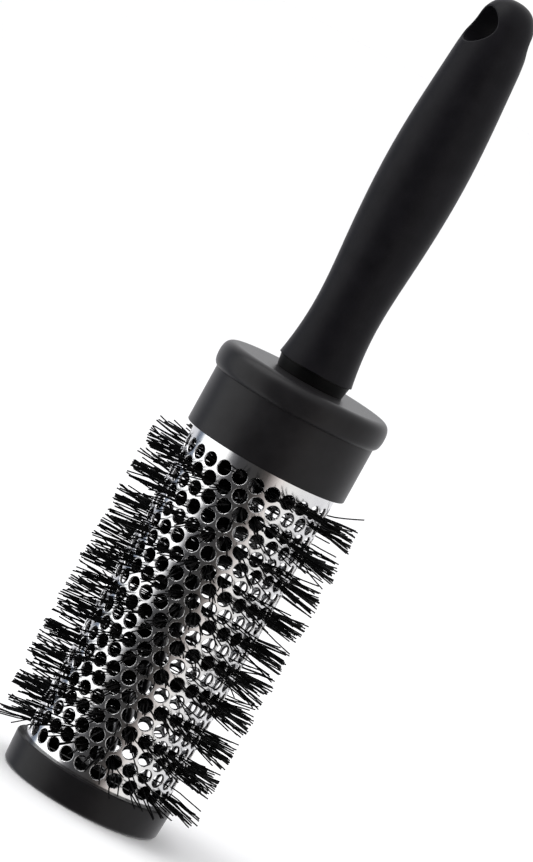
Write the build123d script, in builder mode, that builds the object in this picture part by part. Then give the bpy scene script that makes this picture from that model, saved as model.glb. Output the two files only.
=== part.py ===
import os

from build123d import *

os.makedirs("parts", exist_ok=True)

# A round thermal barrel brush standing on its end cap. Z runs up the brush's axis,
# and Z = 0 is the cap's flat end. Lengths are in millimetres, angles in degrees.

# Perforated barrel
barrel_diameter = 43.0
barrel_wall = 0.8
hole_diameter = 4.0
holes_per_row = 27
hole_rows = 21
row_pitch = 4.364
hole_phase = 11.7  # angle of the first hole in the lowest row
plain_band = 5.0  # from the top row's centres up to the collar

# End cap and the plug behind it
cap_height = 9.0
cap_floor = 2.2
cap_bottom_radius = 23.25
cap_top_radius = 23.7
cap_edge_radius = 1.3
cap_lip_radius = 0.5
cap_to_first_row = 3.35
plug_flange = 1.4
plug_depth = 6.0

# Collar and the hub inside it
collar_height = 24.2
collar_radius = 23.8
collar_roof = 3.0
bead_radius = 25.2
bead_height = 7.9
bead_crown_drop = 4.2  # from the collar's top down to its widest level
bead_flat_radius = 22.0
bead_crease_slope = (1, 0.55)  # how steeply the bead leaves the collar's side: out, up
collar_lip_radius = 0.3
roof_hole_inset = 0.5
hub_flange = 3.0
hub_depth = 12.8

# Ribs and rims inside the plug and the hub
rim_thickness = 1.9
boss_wall = 2.8
rib_thickness = 1.6
rib_count = 6

# Handle
neck_height = 3.6
neck_low_radius = 9.8
neck_top_radius = 10.4
groove_height = 0.3
groove_depth = 0.5
tang_radius = 8.0
grip_length = 111.5
grip_skin = 1.2
foot_radius = 10.9
waist_radius = 9.22
waist_rise = 16.0
swell_radius = 10.1
swell_rise = 33.5
belly_radius = 11.25
belly_rise = 66.0
shoulder_radius = 9.67
shoulder_rise = 91.5
tip_radius = 8.1
tip_rise = 103.5
foot_slope = (-0.19, 1)  # the outline's direction at each end of its curves: out, up
tip_slope = (-0.19, 1)
core_rise = 92.0
core_crown = 3.0  # height of the stem's rounded end
core_slope = (-0.16, 1)
hang_hole_radius = 5.6
hang_hole_below_tip = 9.9
hang_hole_lip = 0.35

# Bristles: nylon laid across a pair of twisted wires
wire_radius = 1.0
wire_gap = 0.5
wire_above_plug = 2.0  # from the barrel's lower edge up to the wires' ends
wire_below_roof = 4.0
twist_pitch = 18.9
along_x_height = 99.45  # where the filaments lie along X
brush_diameter = 63.0
tuft_root_height = 3.2
tuft_root_radius = 0.25
tuft_barrel_radius = 0.8
tuft_reach = 2.6  # the twist feeds the holes that lie this near above or below it

# Clearances
press_clearance = 0.05
slip_clearance = 0.1
end_clearance = 1.0

# Heights and radii that follow
barrel_radius = barrel_diameter / 2
bore_radius = barrel_radius - barrel_wall
barrel_bottom = cap_floor + plug_flange
first_row_height = cap_height + cap_to_first_row
top_row_height = first_row_height + (hole_rows - 1) * row_pitch
collar_bottom = top_row_height + plain_band
collar_top = collar_bottom + collar_height
hub_top = collar_top - collar_roof
barrel_top = hub_top - hub_flange
hub_bottom = barrel_top - hub_depth
grip_foot = collar_top + neck_height
grip_tip = grip_foot + grip_length
hang_hole_height = grip_tip - hang_hole_below_tip
wire_orbit = wire_radius + wire_gap / 2
socket_radius = wire_orbit + wire_radius + press_clearance
wire_bottom = barrel_bottom + wire_above_plug
wire_top = hub_top - wire_below_roof
insert_radius = bore_radius - press_clearance
hole_step = 360 / holes_per_row
hole_cut_depth = 4 * barrel_wall  # runs well past both faces of the wall
half_twist = twist_pitch / 2


def save(builder, name):
    """Labels a finished piece and writes its STEP file."""
    builder.part.label = name
    export_step(builder.part, f"parts/{name}.step")


# End cap: a shallow cup that closes the barrel, and that the brush stands on
cup_radius = barrel_radius + press_clearance
with BuildPart() as end_cap:
    with BuildSketch(Plane.XZ):
        with BuildLine():
            Polyline(
                (0, cap_floor),
                (0, 0),
                (cap_bottom_radius, 0),
                (cap_top_radius, cap_height),
                (cup_radius, cap_height),
                (cup_radius, cap_floor),
                (0, cap_floor),
            )
        make_face()
        fillet(vertices().group_by(Axis.X)[-1], radius=cap_lip_radius)
        fillet(vertices().group_by(Axis.Y)[0].sort_by(Axis.X)[-1], radius=cap_edge_radius)
    revolve(axis=Axis.Z)
save(end_cap, "end_cap")

# End plug: pressed into the barrel's lower end, with a blind socket for the wire core
plug_boss_radius = socket_radius + boss_wall
rim_inner_radius = insert_radius - rim_thickness
with BuildPart() as end_plug:
    with BuildSketch(Plane.XY.offset(cap_floor)):
        Circle(barrel_radius)
    extrude(amount=plug_flange)
    with BuildSketch(Plane.XY.offset(barrel_bottom)):
        Circle(insert_radius)
        Circle(rim_inner_radius, mode=Mode.SUBTRACT)
        Circle(plug_boss_radius)
    extrude(amount=plug_depth)
    with BuildSketch(Plane.XY.offset(barrel_bottom)):
        with PolarLocations((rim_inner_radius + plug_boss_radius) / 2, rib_count):
            Rectangle(rim_inner_radius - plug_boss_radius + rim_thickness, rib_thickness)
    extrude(amount=plug_depth - rib_thickness)
    with BuildSketch(Plane.XY.offset(wire_bottom - wire_radius)):
        Circle(socket_radius)
    extrude(amount=plug_depth + plug_flange, mode=Mode.SUBTRACT)
save(end_plug, "end_plug")

# Barrel: aluminium tube, pierced all over by staggered rows of holes
hole_places = []
for row in range(hole_rows):
    height = first_row_height + row * row_pitch
    first_angle = hole_phase + (row % 2) * hole_step / 2
    for place in range(holes_per_row):
        hole_places.append((height, first_angle + place * hole_step))


def radial_plane(radius, height, angle):
    """A plane square to one of the barrel's radii, with its normal outwards."""
    outward = Vector(1, 0, 0).rotate(Axis.Z, angle)
    return Plane(origin=outward * radius + Vector(0, 0, height), x_dir=(0, 0, 1), z_dir=outward)


with BuildPart() as barrel:
    with BuildSketch(Plane.XY.offset(barrel_bottom)):
        Circle(barrel_radius)
        Circle(bore_radius, mode=Mode.SUBTRACT)
    extrude(amount=barrel_top - barrel_bottom)
    with Locations([radial_plane(barrel_radius, *place) for place in hole_places]):
        Cylinder(hole_diameter / 2, hole_cut_depth, mode=Mode.SUBTRACT)
save(barrel, "barrel")

# Wire core: two steel wires twisted round each other, which nip the filaments between them
wires_angle = (along_x_height - wire_bottom) / twist_pitch * 360 + 90
for number in (1, 2):
    start_angle = wires_angle + number * 180
    with BuildPart() as core_wire:
        with BuildLine(Plane.XY.offset(wire_bottom)) as twist:
            helix = Helix(
                twist_pitch,
                wire_top - wire_bottom,
                wire_orbit,
                lefthand=True,
                mode=Mode.PRIVATE,
            )
            add(helix.rotate(Axis.Z, start_angle))
        with BuildSketch(Plane(origin=twist.line @ 0, z_dir=twist.line % 0)):
            Circle(wire_radius)
        sweep(path=twist.line, is_frenet=True)
    save(core_wire, f"core_wire_{number}")

# Bristle tufts: each turn of each side of the twist feeds the nearest holes with one tuft apiece.
# A tuft widens from the wires, passes its hole with room to spare, and ends at the brush's diameter.
tuft_taper = (tuft_barrel_radius - tuft_root_radius) / (barrel_radius - tuft_root_height)
tuft_length = brush_diameter / 2 - tuft_root_height
turns = {}
for height, angle in hole_places:
    twist_angle = (angle + 180) % 360 - 180
    passes = (along_x_height - height) / half_twist - twist_angle / 180
    turn = round(passes)
    if abs(passes - turn) * half_twist <= tuft_reach:
        turns.setdefault(turn, []).append((height, angle))

for number, turn in enumerate(sorted(turns), start=1):
    roots = [radial_plane(tuft_root_height, *place) for place in turns[turn]]
    with BuildPart() as bristle_turn:
        with Locations(roots):
            Cone(
                tuft_root_radius,
                tuft_root_radius + tuft_taper * tuft_length,
                tuft_length,
                align=(Align.CENTER, Align.CENTER, Align.MIN),
            )
    save(bristle_turn, f"bristle_turn_{number:02d}")

# Barrel hub: ribbed plug in the barrel's upper end, bored for the handle's tang
tang_bore = tang_radius + press_clearance
hub_boss_radius = tang_bore + boss_wall
with BuildPart() as barrel_hub:
    with BuildSketch(Plane.XY.offset(barrel_top)):
        Circle(barrel_radius)
    extrude(amount=hub_flange)
    with BuildSketch(Plane.XY.offset(barrel_top)):
        Circle(insert_radius)
        Circle(rim_inner_radius, mode=Mode.SUBTRACT)
        Circle(hub_boss_radius)
    extrude(amount=-hub_depth)
    with BuildSketch(Plane.XY.offset(barrel_top)):
        with PolarLocations((rim_inner_radius + hub_boss_radius) / 2, rib_count):
            Rectangle(rim_inner_radius - hub_boss_radius + rim_thickness, rib_thickness)
    extrude(amount=rib_thickness - hub_depth)
    with BuildSketch(Plane.XY.offset(hub_top)):
        Circle(tang_bore)
    extrude(amount=-hub_top, mode=Mode.SUBTRACT)
save(barrel_hub, "barrel_hub")

# Collar: a deep cap over the barrel's upper end, with a soft rounded bead around its roof
roof_hole_radius = neck_low_radius - roof_hole_inset
with BuildPart() as collar:
    with BuildSketch(Plane.XZ):
        with BuildLine():
            crease = (collar_radius, collar_top - bead_height)
            crown = (bead_radius, collar_top - bead_crown_drop)
            Polyline(
                crease,
                (collar_radius, collar_bottom),
                (cup_radius, collar_bottom),
                (cup_radius, hub_top),
                (roof_hole_radius, hub_top),
                (roof_hole_radius, collar_top),
                (bead_flat_radius, collar_top),
            )
            Spline(crease, crown, tangents=(bead_crease_slope, (0, 1)))
            Spline(crown, (bead_flat_radius, collar_top), tangents=((0, 1), (-1, 0)))
        make_face()
    revolve(axis=Axis.Z)
    lower_rims = edges().group_by(Axis.Z)[0]
    fillet(lower_rims.sort_by(SortBy.RADIUS)[-1], radius=collar_lip_radius)
save(collar, "collar")

# Handle core: hard moulding with a tang in the hub, a bare neck, and a stem inside the grip
waist = (waist_radius, grip_foot + waist_rise)
swell = (swell_radius, grip_foot + swell_rise)
belly = (belly_radius, grip_foot + belly_rise)
shoulder = (shoulder_radius, grip_foot + shoulder_rise)
core_foot_radius = neck_top_radius - groove_depth
core_top = grip_foot + core_rise


def inset(point):
    """A point of the grip's outline brought in by the grip's thickness."""
    return (point[0] - grip_skin, point[1])


with BuildPart() as stem:
    with BuildSketch(Plane.XZ):
        with BuildLine():
            outline = Spline(
                (core_foot_radius, grip_foot),
                inset(waist),
                inset(swell),
                inset(belly),
                (shoulder_radius - grip_skin, core_top - core_crown),
                tangents=(foot_slope, core_slope),
            )
            Spline(outline @ 1, (0, core_top), tangents=(core_slope, (-1, 0)))
            Polyline((0, core_top), (0, grip_foot), (core_foot_radius, grip_foot))
        make_face()
    revolve(axis=Axis.Z)

with BuildPart() as handle_core:
    with BuildSketch(Plane.XZ):
        with BuildLine():
            Polyline(
                (0, hub_bottom),
                (tang_radius, hub_bottom),
                (tang_radius, hub_top),
                (roof_hole_radius - slip_clearance, hub_top),
                (roof_hole_radius - slip_clearance, collar_top),
                (neck_low_radius, collar_top),
                (neck_top_radius, grip_foot - groove_height),
                (core_foot_radius, grip_foot - groove_height),
                (core_foot_radius, grip_foot),
                (0, grip_foot),
                (0, hub_bottom),
            )
        make_face()
    revolve(axis=Axis.Z)
    add(stem.part)
    with BuildSketch(Plane.XY.offset(hub_bottom)):
        Circle(socket_radius)
    extrude(amount=wire_top - hub_bottom + end_clearance, mode=Mode.SUBTRACT)
save(handle_core, "handle_core")

# Grip: soft sleeve moulded over the stem, solid at its tip, where the hanging hole goes through
with BuildPart() as grip:
    with BuildSketch(Plane.XZ):
        with BuildLine():
            outline = Spline(
                (foot_radius, grip_foot),
                waist,
                swell,
                belly,
                shoulder,
                (tip_radius, grip_foot + tip_rise),
                tangents=(foot_slope, tip_slope),
            )
            Spline(outline @ 1, (0, grip_tip), tangents=(tip_slope, (-1, 0)))
            Polyline((0, grip_tip), (0, grip_foot), (foot_radius, grip_foot))
        make_face()
    revolve(axis=Axis.Z)
    add(stem.part, mode=Mode.SUBTRACT)
    with BuildSketch(Plane.XZ):
        with Locations((0, hang_hole_height)):
            Circle(hang_hole_radius)
    extrude(amount=2 * foot_radius, both=True, mode=Mode.SUBTRACT)
    hole_rims = edges().filter_by(lambda rim: rim.center().Z > core_top + end_clearance).group_by(Axis.Y)
    fillet(hole_rims[0] + hole_rims[-1], radius=hang_hole_lip)
save(grip, "grip")
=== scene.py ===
import math
import random

import bmesh
import bpy
from mathutils import Matrix, Vector


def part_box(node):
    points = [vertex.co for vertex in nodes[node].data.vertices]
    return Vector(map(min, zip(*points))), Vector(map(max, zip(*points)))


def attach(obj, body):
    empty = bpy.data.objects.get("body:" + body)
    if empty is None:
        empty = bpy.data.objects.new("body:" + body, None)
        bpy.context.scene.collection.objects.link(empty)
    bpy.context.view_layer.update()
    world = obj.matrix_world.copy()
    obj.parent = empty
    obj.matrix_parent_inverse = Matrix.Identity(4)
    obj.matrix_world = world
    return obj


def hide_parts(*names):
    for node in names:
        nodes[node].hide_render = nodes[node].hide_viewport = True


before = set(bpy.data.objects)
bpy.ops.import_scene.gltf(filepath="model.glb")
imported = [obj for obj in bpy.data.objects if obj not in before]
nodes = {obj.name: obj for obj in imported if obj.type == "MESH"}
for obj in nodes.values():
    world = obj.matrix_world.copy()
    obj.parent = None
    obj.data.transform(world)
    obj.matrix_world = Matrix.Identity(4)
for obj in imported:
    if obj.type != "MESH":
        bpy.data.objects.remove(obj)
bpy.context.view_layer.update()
MM = 0.001

# ---------------------------------------------------------------- sizes, in millimetres

BARREL_RADIUS = 21.5
BARREL_WALL = 0.8
HOLE_RADIUS = 2.0
HOLES_PER_ROW = 27
HOLE_ROWS = 21
ROW_PITCH = 4.364
FIRST_ROW = 12.35
HOLE_PHASE = 11.7
HOLE_STEP = 360 / HOLES_PER_ROW
BARREL_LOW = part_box("barrel")[0][2] / MM
BARREL_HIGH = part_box("barrel")[1][2] / MM

TWIST_PITCH = 18.9
ALONG_X_HEIGHT = 99.45
BRISTLE_TIP = 31.5
BRISTLE_RADIUS = 0.205
WIRE_SURFACE = 0.8  # the wires nip the filaments this far from the axis


# ---------------------------------------------------------------- mesh helpers


def mesh_object(name, points, faces, smooth_angle=None):
    """A new smooth-shaded object from points in millimetres."""
    mesh = bpy.data.meshes.new(name)
    mesh.from_pydata([tuple(c * MM for c in p) for p in points], [], faces)
    obj = bpy.data.objects.new(name, mesh)
    bpy.context.scene.collection.objects.link(obj)
    mesh.polygons.foreach_set("use_smooth", [True] * len(mesh.polygons))
    if smooth_angle is not None:
        mesh.set_sharp_from_angle(angle=math.radians(smooth_angle))
    return obj


def on_barrel(angle, height, radius):
    """A point from its angle in degrees, height and radius."""
    a = math.radians(angle)
    return (radius * math.cos(a), radius * math.sin(a), height)


# ---------------------------------------------------------------- barrel

SIDE_PARTS = 4  # segments along each of a cell's six sides
RIM_DEPTH = 0.36  # the polish reaches this far down a hole's wall; below it the metal is painted darker as shade
WELD = 2e-6  # points nearer than this, in metres, become one
ON_FACE = 0.001  # a point this near the barrel's radius lies on its outer face
# Rings from the flat face over the rolled rim and down the hole's wall: radius and depth
RIM = (
    (2.26, 0.0),
    (2.17, 0.045),
    (2.07, 0.15),
    (HOLE_RADIUS, RIM_DEPTH),
    (HOLE_RADIUS, BARREL_WALL),
)


def cell_outline():
    """Points round a hole's six-sided cell, as parts of the hole step and the row pitch, anticlockwise."""
    third = 1 / 3
    corners = [(-0.5, -third), (0, -2 * third), (0.5, -third), (0.5, third), (0, 2 * third), (-0.5, third)]
    outline = []
    for (u, v), (nu, nv) in zip(corners, corners[1:] + corners[:1]):
        for part in range(SIDE_PARTS):
            t = part / SIDE_PARTS
            outline.append((u + (nu - u) * t, v + (nv - v) * t))
    return outline


def band_edge(column, up):
    """The height of the zigzag edge of the pierced part's lowest row, or its highest if up is 1."""
    out = 1 - abs(column % (2 * SIDE_PARTS) - SIDE_PARTS) / SIDE_PARTS
    row = (HOLE_ROWS - 1) * up
    return FIRST_ROW + (row + (2 * up - 1) * (1 + out) / 3) * ROW_PITCH


def hole_angle(row, place):
    """The angle of a hole, whose rows are staggered by half a step."""
    return HOLE_PHASE + ((row % 2) / 2 + place) * HOLE_STEP


def barrel_points():
    """The pierced tube as points and faces: a cell of quads round each hole, and the plain ends."""
    points, faces = [], []
    outline = cell_outline()
    count = len(outline)
    arc = math.radians(HOLE_STEP) * BARREL_RADIUS
    turns = [math.atan2(v * ROW_PITCH, u * arc) for u, v in outline]

    def ring(make):
        start = len(points)
        points.extend(make(k) for k in range(count))
        return start

    def bridge(a, b):
        for k in range(count):
            n = (k + 1) % count
            faces.append((a + k, a + n, b + n, b + k))

    for row in range(HOLE_ROWS):
        height = FIRST_ROW + row * ROW_PITCH
        for place in range(HOLES_PER_ROW):
            angle = hole_angle(row, place)

            def edge(k, radius):
                u, v = outline[k]
                return on_barrel(angle + u * HOLE_STEP, height + v * ROW_PITCH, radius)

            def rim(k, size, depth):
                radius = BARREL_RADIUS - depth
                aside = math.degrees(size * math.cos(turns[k]) / radius)
                return on_barrel(angle + aside, height + size * math.sin(turns[k]), radius)

            loops = [ring(lambda k: edge(k, BARREL_RADIUS))]
            for size, depth in RIM:
                loops.append(ring(lambda k: rim(k, size, depth)))
            loops.append(ring(lambda k: edge(k, BARREL_RADIUS - BARREL_WALL)))
            for a, b in zip(loops, loops[1:]):
                bridge(a, b)

    columns = HOLES_PER_ROW * 2 * SIDE_PARTS
    outer, inner = BARREL_RADIUS, BARREL_RADIUS - BARREL_WALL
    for up, end in ((0, BARREL_LOW), (1, BARREL_HIGH)):
        starts = []
        for height, radius in ((None, outer), (end, outer), (end, inner), (None, inner)):
            starts.append(len(points))
            for k in range(columns):
                angle = HOLE_PHASE + (k / (2 * SIDE_PARTS) - 0.5) * HOLE_STEP
                points.append(on_barrel(angle, band_edge(k, up) if height is None else height, radius))
        for a, b in zip(starts, starts[1:]):
            for k in range(columns):
                n = (k + 1) % columns
                faces.append((a + k, b + k, b + n, a + n))
    return points, faces


def make_barrel():
    """The pierced tube, shaded as a true cylinder, with its unpolished inside as a second material, painted
    darker as shade.
    """
    points, faces = barrel_points()
    barrel = mesh_object("barrel_tube", points, faces)
    cleaner = bmesh.new()
    cleaner.from_mesh(barrel.data)
    bmesh.ops.remove_doubles(cleaner, verts=cleaner.verts, dist=WELD)
    bmesh.ops.recalc_face_normals(cleaner, faces=cleaner.faces)
    cleaner.to_mesh(barrel.data)
    cleaner.free()
    mesh = barrel.data
    normals = []
    for vert, normal in zip(mesh.vertices, mesh.vertex_normals):
        flat = Vector((vert.co.x, vert.co.y, 0))
        on_face = flat.length > (BARREL_RADIUS - ON_FACE) * MM
        normals.append(flat.normalized() if on_face else normal.vector)
    mesh.normals_split_custom_set_from_vertices(normals)
    dress(barrel, barrel_metal("barrel_aluminium"))
    # The inside and the deep hole walls get a darker colour: painted shade.
    mesh.materials.append(shaded_tube_inside("barrel_inside_painted_shade"))
    inner = (BARREL_RADIUS - RIM_DEPTH) * MM
    for face in mesh.polygons:
        face.material_index = int(math.hypot(face.center.x, face.center.y) < inner)
    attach(barrel, "root")
    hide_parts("barrel")


# ---------------------------------------------------------------- bristles

SEED = 20
FILAMENTS = 1020  # each is nipped by the wires at its middle, so it has two ends
SIDES = 5
STRIP_BELOW, STRIP_ABOVE = 1.0, 2.2  # how far the strip reaches past the lowest and highest row
STRIP_LOW = FIRST_ROW - STRIP_BELOW
STRIP_HIGH = FIRST_ROW + (HOLE_ROWS - 1) * ROW_PITCH + STRIP_ABOVE
END_REACH = 8.0  # filaments nearer than this to the strip's end lean out
END_LEAN = 0.16
DROOP = -0.05  # the filaments' even lean towards the end cap
SPREAD_UP = 3.4  # degrees that a filament strays up or down on its way to the barrel
SPREAD_ROUND = 3.2  # degrees that it strays round the axis
STRAY = 0.25  # how far its points lie off the straight line
FARTHEST_HOLE = 3.6  # a filament that would hit the wall farther than this from any hole is left out
HOLE_ROOM = HOLE_RADIUS - BRISTLE_RADIUS - 0.5  # how far from a hole's axis a filament may pass
CROWDING = 0.35  # how much nearer a hole's middle some filaments pass
OUTWARD_SHARE = 0.35  # how far a hole straightens a filament towards its own axis
FAN = 0.075  # how far the free ends fan out, as a slope
UNRULY_SHARE = 0.12
UNRULINESS = 2.2  # how many times farther an unruly filament strays
TIP_TRIM = 0.3  # the tips' middle lies this far inside the brush's diameter
INNER_POINT = 0.55  # where a filament bends inside the barrel, as a part of its way to the hole
SPAN_PARTS = (1, 1, 2, 2)  # segments between a filament's five points
TUBE_SHARP = 60  # degrees beyond which a filament's edge is sharp: only its cut ends are


def nearest_hole(angle, height):
    """The row, place and offset (round, up) of the hole nearest to a point on the barrel."""
    best = None
    middle = round((height - FIRST_ROW) / ROW_PITCH)
    for row in (middle - 1, middle, middle + 1):
        if not 0 <= row < HOLE_ROWS:
            continue
        place = round((angle - hole_angle(row, 0)) / HOLE_STEP)
        aside = math.radians(angle - hole_angle(row, place)) * BARREL_RADIUS
        rise = height - (FIRST_ROW + row * ROW_PITCH)
        away = math.hypot(aside, rise)
        if best is None or away < best[0]:
            best = (away, row, place, aside, rise)
    return best


def end_lean(height):
    """How far a filament leans away from the strip's middle, where no neighbour holds it up."""
    from_top = max(0, 1 - (STRIP_HIGH - height) / END_REACH)
    from_foot = max(0, 1 - (height - STRIP_LOW) / END_REACH)
    return DROOP + END_LEAN * (from_top - from_foot)


def filament_path(rng, height, side):
    """The line of one filament's end, from the wires through a hole to its cut tip, or None."""
    angle = (ALONG_X_HEIGHT - height) / TWIST_PITCH * 360 + side * 180
    angle += rng.gauss(0, SPREAD_ROUND)
    root = Vector(on_barrel(angle, height + rng.gauss(0, STRAY), WIRE_SURFACE))
    rise = math.tan(math.radians(rng.gauss(0, SPREAD_UP))) * BARREL_RADIUS
    away, row, place, aside, up = nearest_hole(angle, root.z + rise)
    if away > FARTHEST_HOLE:
        return None
    room = HOLE_ROOM * (1 - CROWDING * rng.random() ** 2)
    if away > room:
        aside *= room / away
        up *= room / away
    wall = BARREL_RADIUS - BARREL_WALL / 2
    at_hole = hole_angle(row, place) + math.degrees(aside / wall)
    hole = Vector(on_barrel(at_hole, FIRST_ROW + row * ROW_PITCH + up, wall))
    onward = (hole - root).normalized()
    outward = Vector((hole.x, hole.y, 0)).normalized()
    heading = (onward * (1 - OUTWARD_SHARE) + outward * OUTWARD_SHARE).normalized()
    unruly = UNRULINESS if rng.random() < UNRULY_SHARE else 1.0
    heading += Vector([rng.gauss(0, FAN * unruly) for _ in range(3)])
    heading.z += end_lean(root.z)
    heading.normalize()
    reach = BRISTLE_TIP + rng.gauss(0, STRAY) - TIP_TRIM
    # Where the heading meets the cylinder that the tips are trimmed to
    a = heading.x**2 + heading.y**2
    b = hole.x * heading.x + hole.y * heading.y
    c = hole.x**2 + hole.y**2 - reach**2
    length = (-b + math.sqrt(b * b - a * c)) / a
    bend = Vector([rng.gauss(0, STRAY * unruly) for _ in range(3)])
    tip = hole + heading * length
    middle = hole + heading * length / 2 + bend / 2
    inner = root.lerp(hole, INNER_POINT) + Vector([rng.gauss(0, STRAY) for _ in range(3)])
    return [root, inner, hole, middle, tip]


def smooth_line(line, parts):
    """A Catmull-Rom line through the points, with the given number of parts in each span."""
    ends = [line[0] * 2 - line[1]] + line + [line[-1] * 2 - line[-2]]
    out = [line[0]]
    for i, count in enumerate(parts):
        p0, p1, p2, p3 = ends[i : i + 4]
        for k in range(1, count + 1):
            t = k / count
            square = (2 * p0 - 5 * p1 + 4 * p2 - p3) * t**2
            cube = (3 * p1 - p0 - 3 * p2 + p3) * t**3
            out.append((2 * p1 + (p2 - p0) * t + square + cube) / 2)
    return out


def add_tube(points, faces, line, radius):
    """A filament's surface along a line, closed at both ends."""
    start = len(points)
    along = (line[-1] - line[0]).normalized()
    side = along.orthogonal().normalized()
    over = along.cross(side)
    ring = [(math.cos(t), math.sin(t)) for t in (2 * math.pi * k / SIDES for k in range(SIDES))]
    for p in line:
        points.extend(tuple(p + side * (radius * c) + over * (radius * s)) for c, s in ring)
    for j in range(len(line) - 1):
        a = start + j * SIDES
        for k in range(SIDES):
            n = (k + 1) % SIDES
            faces.append((a + k, a + n, a + SIDES + n, a + SIDES + k))
    last = start + (len(line) - 1) * SIDES
    faces.append(tuple(start + k for k in reversed(range(SIDES))))
    faces.append(tuple(last + k for k in range(SIDES)))


def make_bristles():
    """Grows every filament and gathers them by the turn of the twist that they belong to."""
    rng = random.Random(SEED)
    turns = {}
    for i in range(FILAMENTS):
        height = STRIP_LOW + (i + rng.random()) / FILAMENTS * (STRIP_HIGH - STRIP_LOW)
        for side in (0, 1):
            path = filament_path(rng, height, side)
            if path is None:
                continue
            hole = path[2]
            half_turns = math.degrees(math.atan2(hole.y, hole.x)) / 180
            passes = (ALONG_X_HEIGHT - hole.z) / (TWIST_PITCH / 2) - half_turns
            turns.setdefault(round(passes), []).append(path)
    names = sorted(n for n in nodes if n.startswith("bristle_turn"))
    order = sorted(turns)
    pieces = []
    for number, name in enumerate(names):
        points, faces = [], []
        last = number == len(names) - 1
        for turn in order[number:] if last else order[number : number + 1]:
            for path in turns[turn]:
                add_tube(points, faces, smooth_line(path, SPAN_PARTS), BRISTLE_RADIUS)
        piece = mesh_object(name + "_filaments", points, faces, smooth_angle=TUBE_SHARP)
        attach(piece, "root")
        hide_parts(name)
        pieces.append(piece)
    return pieces


# ---------------------------------------------------------------- materials


class Nodes:
    """A material's node tree, with short calls for the few nodes that the looks are made of."""

    def __init__(self, name):
        self.material = bpy.data.materials.new(name)
        self.material.use_nodes = True
        self.tree = self.material.node_tree
        self.shader = self.tree.nodes["Principled BSDF"]
        self.place = self.tree.nodes.new("ShaderNodeTexCoord").outputs["Object"]

    def link(self, a, b):
        self.tree.links.new(a, b)

    def stretch(self, scale):
        """The object's own coordinates, scaled, so that a noise draws out along an axis."""
        mapping = self.tree.nodes.new("ShaderNodeMapping")
        mapping.inputs["Scale"].default_value = scale
        self.link(self.place, mapping.inputs["Vector"])
        return mapping.outputs["Vector"]

    def noise(self, scale, detail=3.0, rough=0.5, vector=None):
        """Noise with so many features a metre."""
        noise = self.tree.nodes.new("ShaderNodeTexNoise")
        noise.inputs["Scale"].default_value = scale
        noise.inputs["Detail"].default_value = detail
        noise.inputs["Roughness"].default_value = rough
        self.link(vector or self.place, noise.inputs["Vector"])
        return noise.outputs["Fac"]

    def remap(self, value, low, high, start=0.3, end=0.7):
        """Spreads the range where noise mostly lies over low to high."""
        ranger = self.tree.nodes.new("ShaderNodeMapRange")
        ranger.inputs["From Min"].default_value = start
        ranger.inputs["From Max"].default_value = end
        ranger.inputs["To Min"].default_value = low
        ranger.inputs["To Max"].default_value = high
        self.link(value, ranger.inputs["Value"])
        return ranger.outputs["Result"]

    def blend(self, fac, a, b):
        """A colour between a and b."""
        mix = self.tree.nodes.new("ShaderNodeMix")
        mix.data_type = "RGBA"
        mix.inputs["A"].default_value = (*a, 1)
        mix.inputs["B"].default_value = (*b, 1)
        self.link(fac, mix.inputs["Factor"])
        return mix.outputs["Result"]

    def bump(self, height, strength, distance, below=None):
        """A relief, laid over the one below if there is one."""
        bump = self.tree.nodes.new("ShaderNodeBump")
        bump.inputs["Strength"].default_value = strength
        bump.inputs["Distance"].default_value = distance
        self.link(height, bump.inputs["Height"])
        if below is not None:
            self.link(below, bump.inputs["Normal"])
        return bump.outputs["Normal"]

    def set(self, **values):
        """Sets or links the shader's sockets, whose names take underscores for spaces."""
        for name, value in values.items():
            socket = self.shader.inputs[name.replace("_", " ")]
            if isinstance(value, bpy.types.NodeSocket):
                self.link(value, socket)
            else:
                socket.default_value = value
        return self.material


def soft_touch(name, dark, light, shine, rough):
    """Rubbery satin coat with a fine grain and faint mottling."""
    n = Nodes(name)
    mottle = n.noise(160, detail=4.0, rough=0.6)
    grain = n.noise(5200, detail=2.0, rough=0.55)
    colour = n.blend(n.remap(mottle, 0, 1), dark, light)
    normal = n.bump(grain, strength=0.25, distance=0.00004)
    normal = n.bump(mottle, strength=0.12, distance=0.00012, below=normal)
    return n.set(
        Base_Color=colour,
        Roughness=n.remap(grain, *rough),
        Normal=normal,
        Specular_IOR_Level=shine,
    )


def hard_plastic(name, dark, light):
    """Plain moulded plastic with a low satin shine and faint flow marks."""
    n = Nodes(name)
    flow = n.noise(90, vector=n.stretch((1, 1, 0.25)))
    grain = n.noise(3800, detail=2.0)
    return n.set(
        Base_Color=n.blend(n.remap(flow, 0, 1), dark, light),
        Roughness=n.remap(flow, 0.32, 0.42),
        Normal=n.bump(grain, strength=0.12, distance=0.00003),
        Specular_IOR_Level=0.2,
    )


def barrel_metal(name):
    """Polished aluminium, finely brushed along the tube, with faint rub marks."""
    n = Nodes(name)
    brushed = n.noise(2600, rough=0.6, vector=n.stretch((1, 1, 0.03)))
    rubbed = n.noise(220, detail=4.0, rough=0.6)
    return n.set(
        Base_Color=n.blend(n.remap(rubbed, 0, 1), (0.80, 0.80, 0.81), (0.90, 0.90, 0.90)),
        Metallic=1.0,
        Roughness=n.remap(rubbed, 0.11, 0.17),
        Normal=n.bump(brushed, strength=0.10, distance=0.00002),
    )


def shaded_tube_inside(name):
    """Unpolished aluminium, a little dusty, and painted darker than the outer metal as shade inside the
    tube and down the holes.
    """
    n = Nodes(name)
    dust = n.noise(300, detail=4.0, rough=0.6)
    return n.set(
        # This darker base colour is painted shade inside the tube; the mottling is the dust.
        Base_Color=n.blend(n.remap(dust, 0, 1), (0.62, 0.62, 0.63), (0.74, 0.74, 0.75)),
        Metallic=1.0,
        Roughness=n.remap(dust, 0.24, 0.34),
    )


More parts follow.
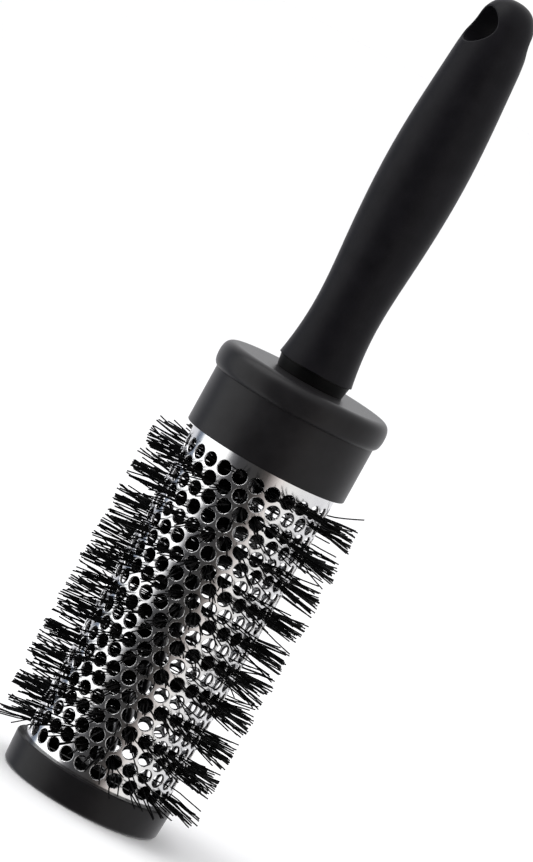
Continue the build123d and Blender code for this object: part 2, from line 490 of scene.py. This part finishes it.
def nylon(name):
    """Black drawn nylon with a slight shine."""
    n = Nodes(name)
    streak = n.noise(900, detail=2.0)
    return n.set(
        Base_Color=n.blend(n.remap(streak, 0, 1), (0.0015, 0.0015, 0.0015), (0.004, 0.004, 0.0045)),
        Roughness=n.remap(streak, 0.36, 0.5),
        Specular_IOR_Level=0.05,
    )


def drawn_steel(name):
    """Galvanised wire with fine marks along its length."""
    n = Nodes(name)
    marks = n.noise(1500, rough=0.6, vector=n.stretch((1, 1, 0.1)))
    return n.set(
        Base_Color=n.blend(n.remap(marks, 0, 1), (0.38, 0.38, 0.39), (0.55, 0.55, 0.56)),
        Metallic=1.0,
        Roughness=n.remap(marks, 0.28, 0.4),
        Normal=n.bump(marks, strength=0.1, distance=0.00003),
    )


def dress(obj, material):
    """Gives a whole object one material."""
    obj.data.materials.clear()
    obj.data.materials.append(material)


def dress_node(name, material):
    """Repaints a CAD node through its object's own slots, which leaves its mesh as it was."""
    for slot in nodes[name].material_slots:
        slot.link = "OBJECT"
        slot.material = material


# ---------------------------------------------------------------- camera

VIEW_AZIMUTH = math.radians(59)  # from the -Y side, towards +X
VIEW_ELEVATION = 0.101107
CAMERA_ROLL = 0.504924
FOCAL_PIXELS = 4500
IMAGE_HEIGHT = 862
AIM_HEIGHT = FIRST_ROW + (HOLE_ROWS - 1) / 2 * ROW_PITCH
# Where the barrel's middle lies, as the camera sees it
AIM_RIGHT, AIM_DOWN, AIM_AWAY = -23.6, 50.173, 1210.72
SENSOR_WIDTH = 36
CLIP_NEAR, CLIP_FAR = 0.05, 100

TOWARDS = Vector((math.sin(VIEW_AZIMUTH), -math.cos(VIEW_AZIMUTH), 0))
ACROSS_VIEW = Vector((math.cos(VIEW_AZIMUTH), math.sin(VIEW_AZIMUTH), 0))
UPRIGHT = Vector((0, 0, 1))


def make_camera():
    """A long lens that sees the brush leaning, because the camera itself is rolled."""
    ce, se = math.cos(VIEW_ELEVATION), math.sin(VIEW_ELEVATION)
    cr, sr = math.cos(CAMERA_ROLL), math.sin(CAMERA_ROLL)
    back = TOWARDS * ce + UPRIGHT * se
    level_up = UPRIGHT * ce - TOWARDS * se
    right = ACROSS_VIEW * cr + level_up * sr
    up = level_up * cr - ACROSS_VIEW * sr
    aim = Vector((0, 0, AIM_HEIGHT))
    place = aim - (right * AIM_RIGHT - up * AIM_DOWN - back * AIM_AWAY)
    data = bpy.data.cameras.new("camera")
    data.sensor_width = SENSOR_WIDTH
    data.lens = FOCAL_PIXELS / IMAGE_HEIGHT * SENSOR_WIDTH
    data.clip_start, data.clip_end = CLIP_NEAR, CLIP_FAR
    camera = bpy.data.objects.new("camera", data)
    turn = Matrix((right, up, back)).transposed().to_4x4()
    camera.matrix_world = Matrix.Translation(place * MM) @ turn
    bpy.context.scene.collection.objects.link(camera)
    bpy.context.scene.camera = camera


# ---------------------------------------------------------------- studio


FLOOR_HALF = 12.0


def make_floor():
    """A matt white sheet at the foot of the end cap."""
    mesh = bpy.data.meshes.new("floor")
    corners = [(x * FLOOR_HALF, y * FLOOR_HALF, 0) for x, y in ((-1, -1), (1, -1), (1, 1), (-1, 1))]
    mesh.from_pydata(corners, [], [(0, 1, 2, 3)])
    floor = bpy.data.objects.new("floor", mesh)
    bpy.context.scene.collection.objects.link(floor)
    n = Nodes("floor_paper")
    tone = n.noise(30)
    colour = n.blend(n.remap(tone, 0, 1), (0.93, 0.93, 0.93), (0.95, 0.95, 0.95))
    dress(floor, n.set(Base_Color=colour, Roughness=0.9))
    floor.visible_glossy = False  # else the barrel mirrors the floor and loses its dark stripe


# Light round the brush at its own height, by the angle from the camera's side: negative to the left
SURROUND = (
    (-180, (0.95, 0.95, 0.97)),
    (-150, (0.80, 0.80, 0.83)),
    (-131, (0.70, 0.71, 0.76)),
    (-124, (0.16, 0.18, 0.22)),
    (-113, (0.20, 0.25, 0.34)),
    (-106, (1.45, 1.48, 1.50)),
    (-56, (1.45, 1.45, 1.45)),
    (-46, (0.20, 0.20, 0.21)),
    (-34, (0.06, 0.06, 0.063)),
    (2, (0.045, 0.043, 0.042)),
    (14, (0.09, 0.08, 0.075)),
    (24, (0.42, 0.38, 0.365)),
    (34, (0.86, 0.81, 0.78)),
    (50, (0.94, 0.93, 0.91)),
    (110, (0.80, 0.80, 0.82)),
    (180, (0.95, 0.95, 0.97)),
)
OVERHEAD = (1.2, 1.2, 1.22)
OVERHEAD_FROM, OVERHEAD_FULL = 0.35, 0.7  # sines of the heights between which it takes over
BACKDROP_STRENGTH = 1.05
LAMP_AIM = 0.12  # metres above the floor


def make_world():
    """A white studio with a dark gap on the camera's side, which draws the barrel's stripes."""
    world = bpy.data.worlds.new("studio")
    bpy.context.scene.world = world
    world.use_nodes = True
    tree = world.node_tree
    tree.nodes.clear()
    add, link = tree.nodes.new, tree.links.new
    direction = add("ShaderNodeTexCoord").outputs["Generated"]

    def along(axis):
        node = add("ShaderNodeVectorMath")
        node.operation = "DOT_PRODUCT"
        node.inputs[1].default_value = axis
        link(direction, node.inputs[0])
        return node.outputs["Value"]

    def math_node(operation, a, b):
        node = add("ShaderNodeMath")
        node.operation = operation
        for socket, value in zip(node.inputs, (a, b)):
            if isinstance(value, bpy.types.NodeSocket):
                link(value, socket)
            else:
                socket.default_value = value
        return node.outputs[0]

    turn = math_node("ARCTAN2", along(ACROSS_VIEW), along(TOWARDS))
    part = math_node("MULTIPLY_ADD", turn, 1 / (2 * math.pi))
    part.node.inputs[2].default_value = 0.5
    ramp = add("ShaderNodeValToRGB")
    stops = ramp.color_ramp.elements
    stops[0].position, stops[1].position = 0, 1
    stops[0].color = (*SURROUND[0][1], 1)
    stops[1].color = (*SURROUND[-1][1], 1)
    for angle, colour in SURROUND[1:-1]:
        stop = stops.new(angle / 360 + 0.5)
        stop.color = (*colour, 1)
    link(part, ramp.inputs["Fac"])
    overhead = add("ShaderNodeMapRange")
    overhead.inputs["From Min"].default_value = OVERHEAD_FROM
    overhead.inputs["From Max"].default_value = OVERHEAD_FULL
    link(along(UPRIGHT), overhead.inputs["Value"])
    mix = add("ShaderNodeMix")
    mix.data_type = "RGBA"
    link(overhead.outputs["Result"], mix.inputs["Factor"])
    link(ramp.outputs["Color"], mix.inputs["A"])
    mix.inputs["B"].default_value = (*OVERHEAD, 1)
    lit = add("ShaderNodeBackground")
    link(mix.outputs["Result"], lit.inputs["Color"])
    seen = add("ShaderNodeBackground")
    seen.inputs["Color"].default_value = (1, 1, 1, 1)
    seen.inputs["Strength"].default_value = BACKDROP_STRENGTH
    swap = add("ShaderNodeMixShader")
    link(add("ShaderNodeLightPath").outputs["Is Camera Ray"], swap.inputs["Fac"])
    link(lit.outputs[0], swap.inputs[1])
    link(seen.outputs[0], swap.inputs[2])
    link(swap.outputs[0], add("ShaderNodeOutputWorld").inputs["Surface"])


def make_lamp(name, turn, rise, distance, size, power):
    """A square soft lamp that faces the middle of the brush, placed by its angle from the camera's side."""
    data = bpy.data.lights.new(name, "AREA")
    data.shape = "SQUARE"
    data.size = size
    data.energy = power
    lamp = bpy.data.objects.new(name, data)
    bpy.context.scene.collection.objects.link(lamp)
    t, r = math.radians(turn), math.radians(rise)
    way = (TOWARDS * math.cos(t) + ACROSS_VIEW * math.sin(t)) * math.cos(r) + UPRIGHT * math.sin(r)
    lamp.location = UPRIGHT * LAMP_AIM + way * distance
    lamp.rotation_euler = way.to_track_quat("Z", "Y").to_euler()
    lamp.visible_camera = False


# ---------------------------------------------------------------- the scene

make_barrel()
bristles = make_bristles()

grip_finish = soft_touch(
    "grip_soft_touch",
    dark=(0.0045, 0.0042, 0.0055),
    light=(0.0075, 0.007, 0.0088),
    shine=0.10,
    rough=(0.38, 0.46),
)
cap_finish = soft_touch(
    "cap_soft_touch",
    dark=(0.0075, 0.007, 0.0078),
    light=(0.0115, 0.0108, 0.0118),
    shine=0.2,
    rough=(0.30, 0.37),
)
core_finish = hard_plastic("core_plastic", (0.002, 0.002, 0.002), (0.004, 0.004, 0.0042))
steel_finish = drawn_steel("wire_steel")

nylon_finish = nylon("bristle_nylon")
for piece in bristles:
    dress(piece, nylon_finish)
dress_node("grip", grip_finish)
dress_node("collar", cap_finish)
dress_node("end_cap", cap_finish)
for name in ("handle_core", "barrel_hub", "end_plug"):
    dress_node(name, core_finish)
for name in ("core_wire_1", "core_wire_2"):
    dress_node(name, steel_finish)

make_camera()
make_floor()
make_world()
make_lamp("lamp_top_left", turn=-75, rise=50, distance=1.3, size=1.1, power=8)

view = bpy.context.scene.view_settings
view.view_transform = "Standard"
view.look = "None"
